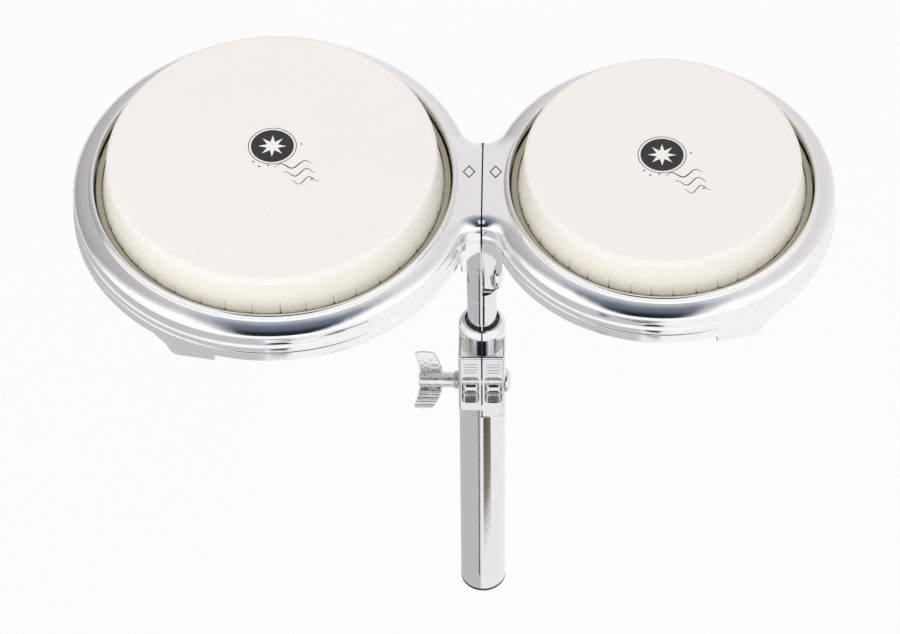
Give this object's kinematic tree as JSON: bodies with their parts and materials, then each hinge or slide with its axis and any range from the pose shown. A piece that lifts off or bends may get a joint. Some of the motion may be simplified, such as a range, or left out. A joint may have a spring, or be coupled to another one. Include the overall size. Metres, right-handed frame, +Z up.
{
  "type": "compact bongo drums",
  "caption": "Joined shallow hand drums in a bright cast frame, on a tilting telescopic post held by a wing-bolt clamp on a stand tube.",
  "frame": {"origin": "centre of the stand tube's lower end", "axes": "+Z up along the stand tube and post, +X from the seam towards the small drum, -Y towards the player"},
  "size_m": [0.5071, 0.2676, 0.426],
  "materials": {
    "cast_alloy": "polished",
    "head_film": "textured",
    "shell_plastic": "satin",
    "steel": "satin",
    "chrome": "polished",
    "nylon": "matte",
    "rubber": "matte"
  },
  "bodies": {
    "stand": {"stand_tube": "chrome", "tube_plug": "nylon", "clamp_body": "chrome", "clamp_hinge_pin": "steel"},
    "bushing": {"post_bushing": "nylon"},
    "post": {"post_tube": "chrome", "post_end_cap": "nylon", "tilter_lower": "chrome", "tilter_bolt": "steel"},
    "drums": {"large_frame": "cast_alloy", "large_head": "head_film", "large_shell": "shell_plastic", "large_rest_pad_1": "rubber", "large_rest_pad_2": "rubber", "small_frame": "cast_alloy", "small_head": "head_film", "small_shell": "shell_plastic", "small_rest_pad_1": "rubber", "small_rest_pad_2": "rubber", "bridge_bolt_1": "steel", "bridge_nut_1": "steel", "bridge_bolt_2": "steel", "bridge_nut_2": "steel", "mount_bracket": "cast_alloy", "bracket_screw_1": "steel", "bracket_screw_2": "steel", "bracket_screw_3": "steel", "bracket_screw_4": "steel", "tilter_upper": "chrome"},
    "tilter_knob": {"tilter_knob": "chrome"},
    "jaw": {"clamp_jaw": "chrome", "clamp_nut": "chrome"},
    "wing_bolt": {"wing_bolt": "chrome", "wing_washer": "steel"},
    "large_tuning_ring": {"large_tuning_ring": "steel", "large_flesh_hoop": "steel"},
    "small_tuning_ring": {"small_tuning_ring": "steel", "small_flesh_hoop": "steel"},
    "large_tuning_screw_1": {"large_tuning_screw_1": "steel"},
    "large_tuning_screw_2": {"large_tuning_screw_2": "steel"},
    "large_tuning_screw_3": {"large_tuning_screw_3": "steel"},
    "large_tuning_screw_4": {"large_tuning_screw_4": "steel"},
    "large_tuning_screw_5": {"large_tuning_screw_5": "steel"},
    "large_tuning_screw_6": {"large_tuning_screw_6": "steel"},
    "small_tuning_screw_1": {"small_tuning_screw_1": "steel"},
    "small_tuning_screw_2": {"small_tuning_screw_2": "steel"},
    "small_tuning_screw_3": {"small_tuning_screw_3": "steel"},
    "small_tuning_screw_4": {"small_tuning_screw_4": "steel"}
  },
  "joints": [
    {"name": "post_swivel", "type": "hinge", "parent": "stand", "child": "bushing", "pos_m": [0, 0, 0.25], "axis": [0, 0, 1], "continuous": true},
    {"name": "post_height", "type": "slide", "parent": "bushing", "child": "post", "axis": [0, 0, 1], "range_m": [-0.026, 0.06]},
    {"name": "tilt", "type": "hinge", "parent": "post", "child": "drums", "pos_m": [0, 0, 0.335], "axis": [1, 0, 0], "range_deg": [-45, 75]},
    {"name": "tilter_knob_turn", "type": "hinge", "parent": "post", "child": "tilter_knob", "pos_m": [0.0115, 0, 0.335], "axis": [1, 0, 0], "range_deg": [0, 540]},
    {"name": "wing_bolt_turn", "type": "hinge", "parent": "stand", "child": "wing_bolt", "pos_m": [-0.02, -0.017, 0.2434], "axis": [-1, 0, 0], "range_deg": [0, 430]},
    {"name": "jaw_open", "type": "hinge", "parent": "stand", "child": "jaw", "pos_m": [0, 0.0178, 0.25], "axis": [0, 0, 1], "range_deg": [0, 2.6]},
    {"name": "large_tuning", "type": "slide", "parent": "drums", "child": "large_tuning_ring", "axis": [0, 0, -1], "range_m": [-0.0012, 0.0012]},
    {"name": "large_tuning_screw_1_turn", "type": "hinge", "parent": "drums", "child": "large_tuning_screw_1", "pos_m": [-0.03371, 0.0845, 0.38], "axis": [0, 0, 1], "range_deg": [-410, 410]},
    {"name": "large_tuning_screw_2_turn", "type": "hinge", "parent": "drums", "child": "large_tuning_screw_2", "pos_m": [-0.1385, 0.145, 0.38], "axis": [0, 0, 1], "range_deg": [-410, 410]},
    {"name": "large_tuning_screw_3_turn", "type": "hinge", "parent": "drums", "child": "large_tuning_screw_3", "pos_m": [-0.24329, 0.0845, 0.38], "axis": [0, 0, 1], "range_deg": [-410, 410]},
    {"name": "large_tuning_screw_4_turn", "type": "hinge", "parent": "drums", "child": "large_tuning_screw_4", "pos_m": [-0.24329, -0.0365, 0.38], "axis": [0, 0, 1], "range_deg": [-410, 410]},
    {"name": "large_tuning_screw_5_turn", "type": "hinge", "parent": "drums", "child": "large_tuning_screw_5", "pos_m": [-0.1385, -0.097, 0.38], "axis": [0, 0, 1], "range_deg": [-410, 410]},
    {"name": "large_tuning_screw_6_turn", "type": "hinge", "parent": "drums", "child": "large_tuning_screw_6", "pos_m": [-0.03371, -0.0365, 0.38], "axis": [0, 0, 1], "range_deg": [-410, 410]},
    {"name": "small_tuning", "type": "slide", "parent": "drums", "child": "small_tuning_ring", "axis": [0, 0, -1], "range_m": [-0.0012, 0.0012]},
    {"name": "small_tuning_screw_1_turn", "type": "hinge", "parent": "drums", "child": "small_tuning_screw_1", "pos_m": [0.04618, 0.09683, 0.38], "axis": [0, 0, 1], "range_deg": [-410, 410]},
    {"name": "small_tuning_screw_2_turn", "type": "hinge", "parent": "drums", "child": "small_tuning_screw_2", "pos_m": [0.19184, 0.09683, 0.38], "axis": [0, 0, 1], "range_deg": [-410, 410]},
    {"name": "small_tuning_screw_3_turn", "type": "hinge", "parent": "drums", "child": "small_tuning_screw_3", "pos_m": [0.19184, -0.04883, 0.38], "axis": [0, 0, 1], "range_deg": [-410, 410]},
    {"name": "small_tuning_screw_4_turn", "type": "hinge", "parent": "drums", "child": "small_tuning_screw_4", "pos_m": [0.04618, -0.04883, 0.38], "axis": [0, 0, 1], "range_deg": [-410, 410]}
  ],
  "couplings": [
    {"joint": "jaw_open", "follows": "wing_bolt_turn", "ratio": 0.005814},
    {"joint": "large_tuning_screw_1_turn", "follows": "large_tuning", "rad_per_m": 5938.7},
    {"joint": "large_tuning_screw_2_turn", "follows": "large_tuning", "rad_per_m": 5938.7},
    {"joint": "large_tuning_screw_3_turn", "follows": "large_tuning", "rad_per_m": 5938.7},
    {"joint": "large_tuning_screw_4_turn", "follows": "large_tuning", "rad_per_m": 5938.7},
    {"joint": "large_tuning_screw_5_turn", "follows": "large_tuning", "rad_per_m": 5938.7},
    {"joint": "large_tuning_screw_6_turn", "follows": "large_tuning", "rad_per_m": 5938.7},
    {"joint": "small_tuning_screw_1_turn", "follows": "small_tuning", "rad_per_m": 5938.7},
    {"joint": "small_tuning_screw_2_turn", "follows": "small_tuning", "rad_per_m": 5938.7},
    {"joint": "small_tuning_screw_3_turn", "follows": "small_tuning", "rad_per_m": 5938.7},
    {"joint": "small_tuning_screw_4_turn", "follows": "small_tuning", "rad_per_m": 5938.7}
  ]
}
